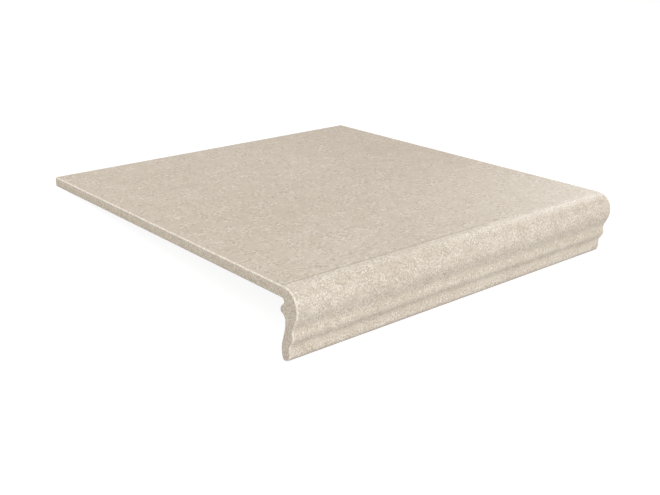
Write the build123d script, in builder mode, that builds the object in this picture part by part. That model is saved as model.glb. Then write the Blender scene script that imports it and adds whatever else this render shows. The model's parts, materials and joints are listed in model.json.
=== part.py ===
from build123d import *
import os
from math import asin, atan2, cos, hypot, sin, tan

os.makedirs("parts", exist_ok=True)

# A stair tread tile of pressed porcelain stoneware, in millimetres: a flat tread whose front
# turns down into a moulded nosing. It lies as it does on a level floor with nothing under it,
# on the heel of the nosing's lip and the lower back edge of the tread. X runs along the
# nosing, the nosing looks towards -Y, and the origin is on the floor below the middle.

# The whole tile
tile_width = 300.0
field_depth = 300.0  # the flat tread, from the nosing to the back edge
nosing_reach = 14.7  # from the flat tread to the foremost line of the nosing
tile_thickness = 7.5
nosing_drop = 47.2  # from the top face to the lip's lower edge
arris = 0.7  # the small bevel round both ends and the back edge
tile_depth = nosing_reach + field_depth

# The corners of the section. Each gives the distance behind the foremost line, the height
# above the top face, and the radius that the corner is rounded to.
tread_top = (tile_depth, 0, 0)
crown = (0, 0, 12)
roll = (0, -15.8, 13)
waist = (5.1, -26.1, 6.2)
bead = (3.6, -31.2, 5)
lip_top = (7.6, -36.6, 6)
lip_toe = (7.6, -nosing_drop, 5)
lip_heel = (14.3, -nosing_drop, 1.6)
lip_back = (16.8, -40.7, 17)
waist_back = (11.9, -25.3, 22)
rib_root = (11.7, -18.4, 5)
rib_low = (16.3, -16.3, 1.2)
rib_high = (16.3, -13.7, 2.1)
throat = (11.9, -9.3, 1.2)
tread_root = (14.4, -tile_thickness, 1.4)
tread_foot = (tile_depth, -tile_thickness, 0)

# The shallow keying pockets that are pressed into the underside of the tread
pocket_rows = 12
pocket_pitch = 23.0
pocket_side = 20.0
pocket_depth = 0.6
pocket_field_middle = 168.0  # behind the foremost line

# The tilt at which the round of the lip's heel and the lower bevel of the back edge touch the
# floor together
heel_back, heel_up, heel_radius = lip_heel
heel_slope = atan2(lip_back[1] - heel_up, lip_back[0] - heel_back)
heel_centre_back = heel_back - heel_radius * tan(heel_slope / 2)
heel_centre_up = heel_up + heel_radius
floor_run = tile_depth - arris - heel_centre_back
floor_rise = -tile_thickness - heel_centre_up
tilt = atan2(floor_rise, floor_run) + asin(heel_radius / hypot(floor_run, floor_rise))
heel_drop = heel_radius + heel_centre_back * sin(tilt) - heel_centre_up * cos(tilt)

# How far the tilted tile reaches: in front to the round of its roll, and behind to the upper
# bevel of the back edge, both from the corner of the section's crown
roll_back, roll_up, roll_radius = roll
roll_slope = atan2(waist[0] - roll_back, roll_up - waist[1])
roll_centre_up = roll_up + roll_radius * tan(roll_slope / 2)
front_reach = roll_radius - roll_radius * cos(tilt) - roll_centre_up * sin(tilt)
back_reach = tile_depth * cos(tilt) - arris * sin(tilt)

# The section's own directions, and the corner of its crown
tread_back = Vector(0, cos(tilt), -sin(tilt))
tread_up = Vector(0, sin(tilt), cos(tilt))
crown_corner = Vector(0, (front_reach - back_reach) / 2, heel_drop)

end_plane = Plane(
    origin=crown_corner - Vector(tile_width / 2, 0, 0),
    x_dir=tread_back,
    z_dir=(1, 0, 0),
)
underside_plane = Plane(
    origin=crown_corner + tread_back * pocket_field_middle - tread_up * tile_thickness,
    x_dir=(1, 0, 0),
    z_dir=-tread_up,
)

outline = [
    tread_top,
    crown,
    roll,
    waist,
    bead,
    lip_top,
    lip_toe,
    lip_heel,
    lip_back,
    waist_back,
    rib_root,
    rib_low,
    rib_high,
    throat,
    tread_root,
    tread_foot,
]

with BuildPart() as tread_tile:
    # The moulded section runs straight from end to end.
    with BuildSketch(end_plane):
        with BuildLine():
            FilletPolyline(
                [(back, up) for back, up, radius in outline],
                radius=[radius for back, up, radius in outline],
                close=True,
            )
        make_face()
    extrude(amount=tile_width)

    # The edges are eased: first the back edge of the tread, then right round both ends.
    back_face = tread_tile.faces().sort_by(Axis.Y)[-1]
    chamfer(back_face.edges().filter_by(Axis.X), length=arris)
    end_faces = tread_tile.faces().filter_by(Axis.X)
    chamfer(end_faces.edges(), length=arris)

    # The underside is keyed for its mortar bed.
    with BuildSketch(underside_plane):
        with GridLocations(pocket_pitch, pocket_pitch, pocket_rows, pocket_rows):
            Rectangle(pocket_side, pocket_side)
    extrude(amount=-pocket_depth, mode=Mode.SUBTRACT)

tread_tile.part.label = "tread_tile"
export_step(tread_tile.part, "parts/tread_tile.step")
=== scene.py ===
import json
from math import ceil, cos, pi, radians, sin, tan

import bpy
from mathutils import Matrix, Vector, noise


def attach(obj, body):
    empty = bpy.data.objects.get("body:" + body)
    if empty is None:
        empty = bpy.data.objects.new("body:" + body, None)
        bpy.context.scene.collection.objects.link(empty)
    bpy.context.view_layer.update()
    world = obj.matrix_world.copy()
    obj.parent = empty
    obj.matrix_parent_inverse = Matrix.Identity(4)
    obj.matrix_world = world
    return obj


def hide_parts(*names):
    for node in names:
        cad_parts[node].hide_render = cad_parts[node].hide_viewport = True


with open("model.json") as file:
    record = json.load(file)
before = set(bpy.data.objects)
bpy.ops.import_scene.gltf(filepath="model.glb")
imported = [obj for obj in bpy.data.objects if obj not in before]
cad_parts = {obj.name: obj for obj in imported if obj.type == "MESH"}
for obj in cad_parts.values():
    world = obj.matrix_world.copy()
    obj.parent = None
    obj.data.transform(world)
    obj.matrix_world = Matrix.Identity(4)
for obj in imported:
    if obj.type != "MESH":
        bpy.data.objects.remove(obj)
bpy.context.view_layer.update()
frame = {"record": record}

# A stair tread tile of pressed porcelain stoneware. It is modelled in its own millimetres:
# x along the nosing from the middle, back from the foremost line of the nosing, and up from
# the top face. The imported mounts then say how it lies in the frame.
MM = 0.001

# The whole tile
TILE_WIDTH = 300.0
TILE_DEPTH = 314.7
TILE_THICKNESS = 7.5
NOSING_DROP = 47.2
ARRIS = 0.7

# The corners of the section: distance back, height up, and the radius of the rounding
TREAD_TOP = (TILE_DEPTH, 0, ARRIS)
CROWN = (0, 0, 12)
ROLL = (0, -15.8, 13)
WAIST = (5.1, -26.1, 6.2)
BEAD = (3.6, -31.2, 5)
LIP_TOP = (7.6, -36.6, 6)
LIP_TOE = (7.6, -NOSING_DROP, 5)
LIP_HEEL = (14.3, -NOSING_DROP, 1.6)
LIP_BACK = (16.8, -40.7, 17)
WAIST_BACK = (11.9, -25.3, 22)
RIB_ROOT = (11.7, -18.4, 5)
RIB_LOW = (16.3, -16.3, 1.2)
RIB_HIGH = (16.3, -13.7, 2.1)
THROAT = (11.9, -9.3, 1.2)
TREAD_ROOT = (14.4, -TILE_THICKNESS, 1.4)
TREAD_FOOT = (TILE_DEPTH, -TILE_THICKNESS, ARRIS)

# The fine dark line on the top where the flat tread meets the nosing. From the left-hand end it
# is pressed fully up to the middle of the tile, and it has run out a little further right.
SEAM_BACK = 15.0
SEAM_WIDTH = 1.7
SEAM_DEPTH = 0.08
SEAM_FULL_TO = -5.0
SEAM_GONE_AT = 45.0
SEAM_SHADE = -0.5  # as a change of the print's tone

# The keying pockets in the underside
POCKET_ROWS = 12
POCKET_PITCH = 23.0
POCKET_SIDE = 20.0
POCKET_DEPTH = 0.6
POCKET_DRAFT = 0.5
POCKET_FIELD_MIDDLE = 168.0

# How far the painted highlight of the eased ends, a pale rim, runs in over the face
HIGHLIGHT_RIM = 0.15

# How finely the mesh is drawn
TREAD_STEP = 2.0
NOSING_STEP = 0.8
INSIDE_STEP = 1.2
ARC_STEP = 0.6
ARRIS_STEPS = 4
SHARP_FROM = 35.0  # degrees between two faces
TINY = 0.01  # closer than this, two places are one

# The low swell that pressing and firing leave in the face
SWELL_DEPTH = 0.05
SWELL_WIDTH = 14.0

# The stone print and the grain over it, in layers: how wide a patch is in millimetres, the
# detail within it, and its share of the tone. The grain lies in calm and lively patches: how
# wide they are, and how strong the grain is in the calmest and in the liveliest. The colours
# are those of the darkest, the middle and the palest tone.
TREAD_CLOUDS = [(70.0, 2, 0.2), (12.0, 2, 0.3)]
TREAD_GRAIN = [(2.6, 2, 1.15), (1.0, 1, 1.2)]
TREAD_PATCHES = (9.0, 0.25, 1.75)
TREAD_COLOURS = ("#b8a997", "#d0c2b0", "#e7ddce")
NOSING_CLOUDS = [(40.0, 2, 0.3), (9.0, 2, 0.5)]
NOSING_GRAIN = [(1.25, 2, 1.6), (0.7, 1, 1.35)]
NOSING_PATCHES = (7.0, 0.6, 1.4)
NOSING_COLOURS = ("#bbae9d", "#d6c9b8", "#f0e8dc")
# How ragged each layer is, and the middle that its noise swings about
LAYER_ROUGHNESS = 0.6
NOISE_MIDDLE = 0.5
# The tones that have those colours
DARKEST_TONE = 0.1
MIDDLE_TONE = 0.5
PALEST_TONE = 0.9
# Up to where the noise of the patches is calmest, and from where it is liveliest
CALM_UP_TO = 0.35
LIVELY_FROM = 0.65
# The relief of the grain, and how dull the face is
GRAIN_BUMP = 0.5
GRAIN_DEPTH = 0.1
FACE_ROUGHNESS = 0.55

# The grit of the bare body and of its eased edges: how wide a grain is in millimetres, and the
# colours of the darkest and the palest. The eased edges are painted much paler than the body, as a
# highlight along them.
BODY_GRIT = 0.6
BODY_COLOURS = ("#b0a493", "#e2d6c5")
ARRIS_GRIT = 1.0
ARRIS_HIGHLIGHT_COLOURS = ("#dacebd", "#fff7ec")
# The relief of the grit, and how dull the body is
GRIT_BUMP = 0.3
GRIT_DEPTH = 0.05
BODY_ROUGHNESS = 0.8

# What the glassy part of all fired stoneware bends light by
STONEWARE_IOR = 1.5

# Broad changes of tone on the flat tread: paler along the front, a painted highlight that makes the
# front paler still on the right half, and painted shade darkening the right-hand back. For each: the
# two x between which it fades in, the two distances back between which it does, and its change of
# the tone
WHOLE_WIDTH = (-TILE_WIDTH, -TILE_WIDTH / 2)
RIGHT_HALF = (0.0, TILE_WIDTH / 2)
TREAD_TONE_AND_PAINTED_LIGHT = [
    (WHOLE_WIDTH, (110.0, 35.0), 0.055),
    (RIGHT_HALF, (110.0, 35.0), 0.06),
    (RIGHT_HALF, (90.0, 180.0), -0.13),
]
# A painted highlight along the crown of the nosing, stronger on the right half, given the same way
# with heights in place of the distances back
CROWN_PAINTED_HIGHLIGHT = [
    (WHOLE_WIDTH, (-1.8, -0.1), 0.05),
    (RIGHT_HALF, (-1.8, -0.1), 0.05),
]
# Narrow bands of painted light and shade that run along the nosing: painted shade just below the
# crown, painted shade on the bead's shoulder under the roll, painted light on the lip, and painted
# shade along the toe, turned away from the light, that draws its dark line there. For each: the
# height, how far above and below it has faded out, and its change of the tone.
NOSING_PAINTED_LIGHT = [
    (-4.2, 3.2, -0.05),
    (-28.2, 2.6, -0.07),
    (-42.0, 6.0, 0.035),
    (-47.2, 3.5, -0.9),
]

# The camera: its place in the tile's own millimetres, and its lens and sensor in real ones
CAMERA_PLACE = (-450.56, -389.79, 204.34)
CAMERA_HEADING = 39.79  # degrees to the right of straight back
CAMERA_PITCH = 19.81  # degrees down
CAMERA_LENS = 51.76
CAMERA_SENSOR = 36.0

# The light of the room, and the softboxes that stand round the tile: the name, the bearing
# from the right-hand end towards the back and the height, both in degrees, the distance and
# the side in metres, and the power in watts
ROOM_LIGHT = 0.15
SOFTBOXES = [
    ("front_softbox", 270, 25, 1.6, 0.9, 12.9),
    ("left_back_softbox", 150, 40, 1.6, 0.9, 14.9),
    ("left_front_softbox", 215, 14, 1.6, 0.7, 5.9),
    ("right_softbox", 15, 26, 1.2, 0.45, 4.5),
    ("right_front_softbox", 315, 22, 1.6, 0.9, 3.4),
]

# The white paper floor: metres from its middle to its edge, the grey of the paper and the glow
# that the camera sees, and the grey that throws the softboxes' light back up at the tile
FLOOR_REACH = 1.6
FLOOR_SEEN = "#808080"
FLOOR_GLOW = 0.9
FLOOR_FELT = "#a2a2a2"


def mount(name):
    """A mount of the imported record."""
    return next(m for m in frame["record"]["mounts"] if m["name"] == name)


def tile_in_frame():
    """The matrix from the tile's own millimetres to the frame's metres."""
    up = -Vector(mount("bedding_face")["axis"]).normalized()
    back = Vector(mount("back_edge")["axis"]).normalized()
    along = back.cross(up)
    middle_of_back_edge = Vector((0, TILE_DEPTH, -TILE_THICKNESS / 2)) * MM
    turn = Matrix((along, back, up)).transposed()
    place = Vector(mount("back_edge")["pos_m"]) - turn @ middle_of_back_edge
    return Matrix.Translation(place) @ turn.to_4x4() @ Matrix.Scale(MM, 4)


def corner_arc(before, corner, after):
    """The points round one corner of the section."""
    place, radius = Vector(corner[:2]), corner[2]
    to_before = (Vector(before[:2]) - place).normalized()
    to_after = (Vector(after[:2]) - place).normalized()
    half_angle = to_before.angle(to_after) / 2
    centre = place + (to_before + to_after).normalized() * radius / sin(half_angle)
    start = place + to_before * radius / tan(half_angle) - centre
    end = place + to_after * radius / tan(half_angle) - centre
    steps = max(3, ceil(radius * (pi - 2 * half_angle) / ARC_STEP))
    return [centre + start.slerp(end, i / steps) * radius for i in range(steps + 1)]


def rounded(corners):
    """The points along a run of corners. The first and last only give the direction."""
    return [
        point
        for before, corner, after in zip(corners, corners[1:], corners[2:])
        for point in corner_arc(before, corner, after)
    ]


def divided(points, step):
    """The same points, with more between those that are further apart than the step."""
    fine = [points[0]]
    for start, end in zip(points, points[1:]):
        parts = max(1, ceil((end - start).length / step - TINY))
        fine += [start.lerp(end, i / parts) for i in range(1, parts + 1)]
    return fine


def pocket_lines(middle):
    """The lines across one row of pockets: the rim and the foot of both walls of each."""
    first = middle - (POCKET_ROWS - 1) * POCKET_PITCH / 2
    rim, foot = POCKET_SIDE / 2, POCKET_SIDE / 2 - POCKET_DRAFT
    return [
        first + row * POCKET_PITCH + offset
        for row in range(POCKET_ROWS)
        for offset in (-rim, -foot, foot, rim)
    ]


def in_pocket(distance, middle):
    """Whether a distance along one direction of the field is on a pocket's floor."""
    first = middle - (POCKET_ROWS - 1) * POCKET_PITCH / 2
    row = round((distance - first) / POCKET_PITCH)
    from_middle = abs(distance - first - row * POCKET_PITCH)
    return 0 <= row < POCKET_ROWS and from_middle < POCKET_SIDE / 2 - POCKET_DRAFT + TINY


def section_runs():
    """The section in runs of points, each with the finish that it has."""
    seam_back, seam_front = SEAM_BACK + SEAM_WIDTH / 2, SEAM_BACK - SEAM_WIDTH / 2
    tread = rounded([TREAD_FOOT, TREAD_TOP, CROWN]) + [Vector((seam_back, 0))]
    seam = divided([tread[-1], Vector((seam_front, 0))], SEAM_WIDTH / 4)
    nosing = rounded([TREAD_TOP, CROWN, ROLL, WAIST, BEAD, LIP_TOP, LIP_TOE, LIP_HEEL])
    inside = rounded(
        [LIP_TOE, LIP_HEEL, LIP_BACK, WAIST_BACK]
        + [RIB_ROOT, RIB_LOW, RIB_HIGH, THROAT]
        + [TREAD_ROOT, TREAD_FOOT]
    )
    underside = [Vector((back, -TILE_THICKNESS)) for back in pocket_lines(POCKET_FIELD_MIDDLE)]
    foot = rounded([TREAD_ROOT, TREAD_FOOT, TREAD_TOP])
    return [
        ("tread", divided(tread, TREAD_STEP)),
        ("tread", seam),
        ("nosing", divided([seam[-1], *nosing], NOSING_STEP)),
        ("body", divided([nosing[-1], *inside], INSIDE_STEP)),
        ("body", [inside[-1], *underside, foot[0]]),
        ("body", divided([*foot, tread[0]], TREAD_STEP)),
    ]


def section():
    """The points right round the section, and the finish of the strip after each."""
    points, finishes = [], []
    for finish, run in section_runs():
        points += run[:-1]
        finishes += [finish] * (len(run) - 1)
    return points, finishes


def inward(points):
    """The direction into the tile at each point of the section."""
    directions = []
    for i, point in enumerate(points):
        along = (points[(i + 1) % len(points)] - points[i - 1]).normalized()
        directions.append(Vector((-along.y, along.x)))
    return directions


def cross_lines():
    """Where the tile is cut across from end to end: each cut's x, and how far it is inset."""
    half = TILE_WIDTH / 2
    angles = [i * pi / 2 / ARRIS_STEPS for i in range(ARRIS_STEPS + 1)]
    arris = [(half - ARRIS + ARRIS * cos(a), ARRIS * (1 - sin(a))) for a in angles]
    arris.append((half - ARRIS - HIGHLIGHT_RIM, 0))
    ends = half - ARRIS - HIGHLIGHT_RIM
    lines = [Vector((x, 0)) for x in [-ends, *pocket_lines(0), ends]]
    middle = [(line.x, 0) for line in divided(lines, TREAD_STEP)][1:-1]
    return [(-x, inset) for x, inset in arris] + middle + arris[::-1]


def eased(value, nought, full):
    """A smooth rise from 0 to 1 as a value goes from one bound to the other."""
    share = min(1, max(0, (value - nought) / (full - nought)))
    return share * share * (3 - 2 * share)


def seam_press(x, back):
    """How fully the seam is pressed at a point, from 0 to 1."""
    across = eased(abs(back - SEAM_BACK), SEAM_WIDTH / 2, SEAM_WIDTH / 8)
    return across * eased(x, SEAM_GONE_AT, SEAM_FULL_TO)


def broad_tone_and_painted_light(tones_and_painted_light, x, place):
    """Broad changes of tone, painted light among them, at an x and at a distance back or a height,
    added up.
    """
    return sum(
        change * eased(x, *along) * eased(place, *across) for along, across, change in tones_and_painted_light
    )


def seam_tone_and_painted_light(x, back, up):
    """How much paler than its middle tone the face is at a point: the seam's darker line, a paler
    front of the tread, and painted highlights and painted shade.
    """
    if back > SEAM_BACK - SEAM_WIDTH / 2:
        return broad_tone_and_painted_light(TREAD_TONE_AND_PAINTED_LIGHT, x, back) + SEAM_SHADE * seam_press(x, back)
    painted_bands = [change * eased(abs(up - height), fade, 0) for height, fade, change in NOSING_PAINTED_LIGHT]
    return broad_tone_and_painted_light(CROWN_PAINTED_HIGHLIGHT, x, up) + sum(painted_bands)


def depth_below(x, point, finish):
    """How far the surface lies inside the plain section at a point."""
    if finish == "body":
        pocket = in_pocket(x, 0) and in_pocket(point.x, POCKET_FIELD_MIDDLE)
        return POCKET_DEPTH if pocket and abs(point.y + TILE_THICKNESS) < TINY else 0
    swell = noise.noise(Vector((x, point.x, point.y)) / SWELL_WIDTH)
    return SEAM_DEPTH * seam_press(x, point.x) + SWELL_DEPTH * (1 + swell) / 2


def fired_tile():
    """The whole tile as one mesh: the section carried from end to end."""
    points, finishes = section()
    into = inward(points)
    lines = cross_lines()
    count = len(points)
    vertices, tones_and_painted_light, faces, slots = [], [], [], []
    for x, inset in lines:
        for point, direction, finish in zip(points, into, finishes):
            depth = inset if inset else depth_below(x, point, finish)
            place = point + direction * depth
            vertices.append((x, place.x, place.y))
            # Each vertex carries the seam's darker line, the paler front, and painted highlights and
            # painted shade
            tones_and_painted_light.append(seam_tone_and_painted_light(x, place.x, place.y))
    order = {"tread": 0, "nosing": 1, "body": 2, "arris": 3}
    for i in range(len(lines) - 1):
        at_arris = i <= ARRIS_STEPS or i >= len(lines) - 2 - ARRIS_STEPS
        for j, finish in enumerate(finishes):
            k = (j + 1) % count
            row, following = i * count, (i + 1) * count
            faces.append((row + j, row + k, following + k, following + j))
            # The eased ends and the rim beside them take the painted edge highlight
            on_arris = at_arris and finish != "body"
            slots.append(order["arris" if on_arris else finish])
    faces.append(tuple(range(count - 1, -1, -1)))
    faces.append(tuple((len(lines) - 1) * count + j for j in range(count)))
    slots += [order["body"]] * 2
    mesh = bpy.data.meshes.new("fired_tile")
    mesh.from_pydata(vertices, [], faces)
    mesh.transform(tile_in_frame())
    mesh.polygons.foreach_set("material_index", slots)
    mesh.polygons.foreach_set("use_smooth", [True] * len(faces))
    mesh.attributes.new("seam_tone_and_painted_light", "FLOAT", "POINT").data.foreach_set("value", tones_and_painted_light)
    mesh.set_sharp_from_angle(angle=radians(SHARP_FROM))
    mesh.update()
    return mesh


def linear(hex_colour):
    """An sRGB hex colour as linear red, green, blue and alpha."""
    parts = [int(hex_colour[i : i + 2], 16) / 255 for i in (1, 3, 5)]
    return [c / 12.92 if c <= 0.04045 else ((c + 0.055) / 1.055) ** 2.4 for c in parts] + [1]


def add(tree, kind, inputs=None, **settings):
    """One node. An input that is another node's socket is linked, and any other is set."""
    made = tree.nodes.new(kind)
    for name, value in settings.items():
        setattr(made, name, value)
    for name, value in (inputs or {}).items():
        if isinstance(value, bpy.types.NodeSocket):
            tree.links.new(value, made.inputs[name])
        else:
            made.inputs[name].default_value = value
    return made


def start_material(name):
    """A new material: its tree, its surface shader, and places on the tile in millimetres."""
    material = bpy.data.materials.new(name)
    material.use_nodes = True
    tree = material.node_tree
    shader = tree.nodes["Principled BSDF"]
    where = add(tree, "ShaderNodeTexCoord").outputs["Object"]
    scaled = add(tree, "ShaderNodeVectorMath", {0: where, "Scale": 1 / MM}, operation="SCALE")
    return material, tree, shader, scaled.outputs["Vector"]


def layered(tree, place, layers, total):
    """Noise of several widths, each by its share, added to a tone."""
    for width, detail, share in layers:
        patches = add(
            tree,
            "ShaderNodeTexNoise",
            {"Vector": place, "Scale": 1 / width, "Detail": detail, "Roughness": LAYER_ROUGHNESS},
        )
        centred = add(
            tree,
            "ShaderNodeMath",
            {0: patches.outputs["Fac"], 1: NOISE_MIDDLE},
            operation="SUBTRACT",
        )
        total = add(
            tree,
            "ShaderNodeMath",
            {0: centred.outputs[0], 1: share, 2: total},
            operation="MULTIPLY_ADD",
        ).outputs[0]
    return total


def stone_face(name, clouds, grain, patches, colours):
    """Porcelain stoneware with a matt stone-look face, printed, dry pressed and fired. It has a
    fine sandy grain over faint clouds, and shines only where light grazes it. Its tone also takes
    the painted highlights and painted shade that the mesh carries."""
    material, tree, shader, place = start_material(name)
    width, calm, lively = patches
    patch = add(tree, "ShaderNodeTexNoise", {"Vector": place, "Scale": 1 / width, "Detail": 1})
    strength = add(
        tree,
        "ShaderNodeMapRange",
        {
            "Value": patch.outputs["Fac"],
            "From Min": CALM_UP_TO,
            "From Max": LIVELY_FROM,
            "To Min": calm,
            "To Max": lively,
        },
    )
    # The seam's darker line, the paler front and the painted highlights and painted shade that the
    # mesh carries, added to the middle tone
    seam_and_painted_light = add(tree, "ShaderNodeAttribute", attribute_name="seam_tone_and_painted_light").outputs["Fac"]
    middle_with_painted_light = add(tree, "ShaderNodeMath", {0: seam_and_painted_light, 1: MIDDLE_TONE}, operation="ADD")
    tone = add(
        tree,
        "ShaderNodeMath",
        {
            0: layered(tree, place, grain, 0.0),
            1: strength.outputs["Result"],
            2: layered(tree, place, clouds, middle_with_painted_light.outputs[0]),
        },
        operation="MULTIPLY_ADD",
    ).outputs[0]
    ramp = add(tree, "ShaderNodeValToRGB", {"Fac": tone})
    stops = ramp.color_ramp.elements
    stops.new(MIDDLE_TONE)
    for stop, tone_of_stop, colour in zip(stops, (DARKEST_TONE, MIDDLE_TONE, PALEST_TONE), colours):
        stop.position = tone_of_stop
        stop.color = linear(colour)
    tree.links.new(ramp.outputs["Color"], shader.inputs["Base Color"])
    bump = add(
        tree,
        "ShaderNodeBump",
        {"Height": tone, "Strength": GRAIN_BUMP, "Distance": GRAIN_DEPTH * MM},
    )
    tree.links.new(bump.outputs["Normal"], shader.inputs["Normal"])
    shader.inputs["Roughness"].default_value = FACE_ROUGHNESS
    shader.inputs["IOR"].default_value = STONEWARE_IOR
    return material


def fired_body(name, grit_width, colours):
    """The bare stoneware body of the cut ends and the underside, and the eased edges, painted much
    paler than the body as a highlight along them. It is dense and dull, and speckled with grains of
    grit that are drawn about twice as coarse as they are, so that they show."""
    material, tree, shader, place = start_material(name)
    grit = add(tree, "ShaderNodeTexVoronoi", {"Vector": place, "Scale": 1 / grit_width}).outputs
    grain = add(tree, "ShaderNodeSeparateColor", {"Color": grit["Color"]}).outputs["Red"]
    ramp = add(tree, "ShaderNodeValToRGB", {"Fac": grain})
    for stop, colour in zip(ramp.color_ramp.elements, colours):
        stop.color = linear(colour)
    tree.links.new(ramp.outputs["Color"], shader.inputs["Base Color"])
    bump = add(
        tree,
        "ShaderNodeBump",
        {"Height": grit["Distance"], "Strength": GRIT_BUMP, "Distance": GRIT_DEPTH * MM},
        invert=True,
    )
    tree.links.new(bump.outputs["Normal"], shader.inputs["Normal"])
    shader.inputs["Roughness"].default_value = BODY_ROUGHNESS
    shader.inputs["IOR"].default_value = STONEWARE_IOR
    return material


def seen_directly(tree):
    """1 for what the camera sees, straight or in gloss or glass, and 0 for other light."""
    path = add(tree, "ShaderNodeLightPath").outputs
    seen = path["Is Camera Ray"]
    for ray in ("Is Glossy Ray", "Is Transmission Ray"):
        either = add(tree, "ShaderNodeMath", {0: seen, 1: path[ray]}, operation="MAXIMUM")
        seen = either.outputs[0]
    return seen


def studio_floor():
    """A plain white floor that keeps the tile's shadow, and hides nothing from below."""
    mesh = bpy.data.meshes.new("studio_floor")
    round_the_middle = [(-1, -1), (1, -1), (1, 1), (-1, 1)]
    corners = [(FLOOR_REACH * x, FLOOR_REACH * y, 0) for x, y in round_the_middle]
    mesh.from_pydata(corners, [], [(0, 1, 2, 3)])
    floor = bpy.data.objects.new("studio_floor", mesh)
    bpy.context.scene.collection.objects.link(floor)
    material = bpy.data.materials.new("white paper floor")
    material.use_nodes = True
    tree = material.node_tree
    tree.nodes.remove(tree.nodes["Principled BSDF"])
    paper = add(tree, "ShaderNodeBsdfDiffuse", {"Color": linear(FLOOR_SEEN)})
    glow = add(tree, "ShaderNodeEmission", {"Color": (1, 1, 1, 1), "Strength": FLOOR_GLOW})
    dim = add(tree, "ShaderNodeBsdfDiffuse", {"Color": linear(FLOOR_FELT)})
    white = add(tree, "ShaderNodeAddShader", {0: paper.outputs[0], 1: glow.outputs[0]})
    shown = add(
        tree,
        "ShaderNodeMixShader",
        {"Fac": seen_directly(tree), 1: dim.outputs[0], 2: white.outputs[0]},
    )
    from_below = add(
        tree,
        "ShaderNodeMixShader",
        {
            "Fac": add(tree, "ShaderNodeNewGeometry").outputs["Backfacing"],
            1: shown.outputs[0],
            2: add(tree, "ShaderNodeBsdfTransparent").outputs[0],
        },
    )
    tree.links.new(from_below.outputs[0], tree.nodes["Material Output"].inputs["Surface"])
    mesh.materials.append(material)


def studio_world():
    """White behind the tile, and an even soft light round it."""
    world = bpy.data.worlds.new("studio")
    bpy.context.scene.world = world
    world.use_nodes = True
    tree = world.node_tree
    tree.nodes.remove(tree.nodes["Background"])
    room = add(tree, "ShaderNodeBackground", {"Color": (1, 1, 1, 1), "Strength": ROOM_LIGHT})
    white = add(tree, "ShaderNodeBackground", {"Color": (1, 1, 1, 1), "Strength": 1.0})
    shown = add(
        tree,
        "ShaderNodeMixShader",
        {"Fac": seen_directly(tree), 1: room.outputs[0], 2: white.outputs[0]},
    )
    tree.links.new(shown.outputs[0], tree.nodes["World Output"].inputs["Surface"])


def softbox(name, bearing, height, distance, side, power):
    """A square softbox that faces the tile."""
    lamp = bpy.data.lights.new(name, "AREA")
    lamp.size = side
    lamp.energy = power
    around, upward = radians(bearing), radians(height)
    outward = Vector((cos(upward) * cos(around), cos(upward) * sin(around), sin(upward)))
    holder = bpy.data.objects.new(name, lamp)
    holder.location = outward * distance
    holder.rotation_mode = "QUATERNION"
    holder.rotation_quaternion = (-outward).to_track_quat("-Z", "Y")
    bpy.context.scene.collection.objects.link(holder)


def photo_camera():
    """The camera where the photograph was taken from."""
    heading, pitch = radians(CAMERA_HEADING), radians(CAMERA_PITCH)
    look = Vector((sin(heading) * cos(pitch), cos(heading) * cos(pitch), -sin(pitch)))
    in_frame = tile_in_frame()
    turn = in_frame.to_quaternion() @ look.to_track_quat("-Z", "Y")
    camera = bpy.data.cameras.new("photo_camera")
    camera.lens = CAMERA_LENS
    camera.sensor_width = CAMERA_SENSOR
    holder = bpy.data.objects.new("photo_camera", camera)
    holder.location = in_frame @ Vector(CAMERA_PLACE)
    holder.rotation_mode = "QUATERNION"
    holder.rotation_quaternion = turn
    bpy.context.scene.collection.objects.link(holder)
    bpy.context.scene.camera = holder


photo_camera()

tile = bpy.data.objects.new("fired_tread_tile", fired_tile())
bpy.context.scene.collection.objects.link(tile)
for finish in (
    stone_face("matt stoneware tread", TREAD_CLOUDS, TREAD_GRAIN, TREAD_PATCHES, TREAD_COLOURS),
    stone_face("matt stoneware nosing", NOSING_CLOUDS, NOSING_GRAIN, NOSING_PATCHES, NOSING_COLOURS),
    fired_body("fired stoneware body", BODY_GRIT, BODY_COLOURS),
    # the eased edges, painted pale as a highlight along them
    fired_body("eased arris painted pale as a highlight", ARRIS_GRIT, ARRIS_HIGHLIGHT_COLOURS),
):
    tile.data.materials.append(finish)
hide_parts("tread_tile")
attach(tile, "root")

studio_floor()
studio_world()
for lamp in SOFTBOXES:
    softbox(*lamp)
bpy.context.scene.view_settings.view_transform = "Standard"
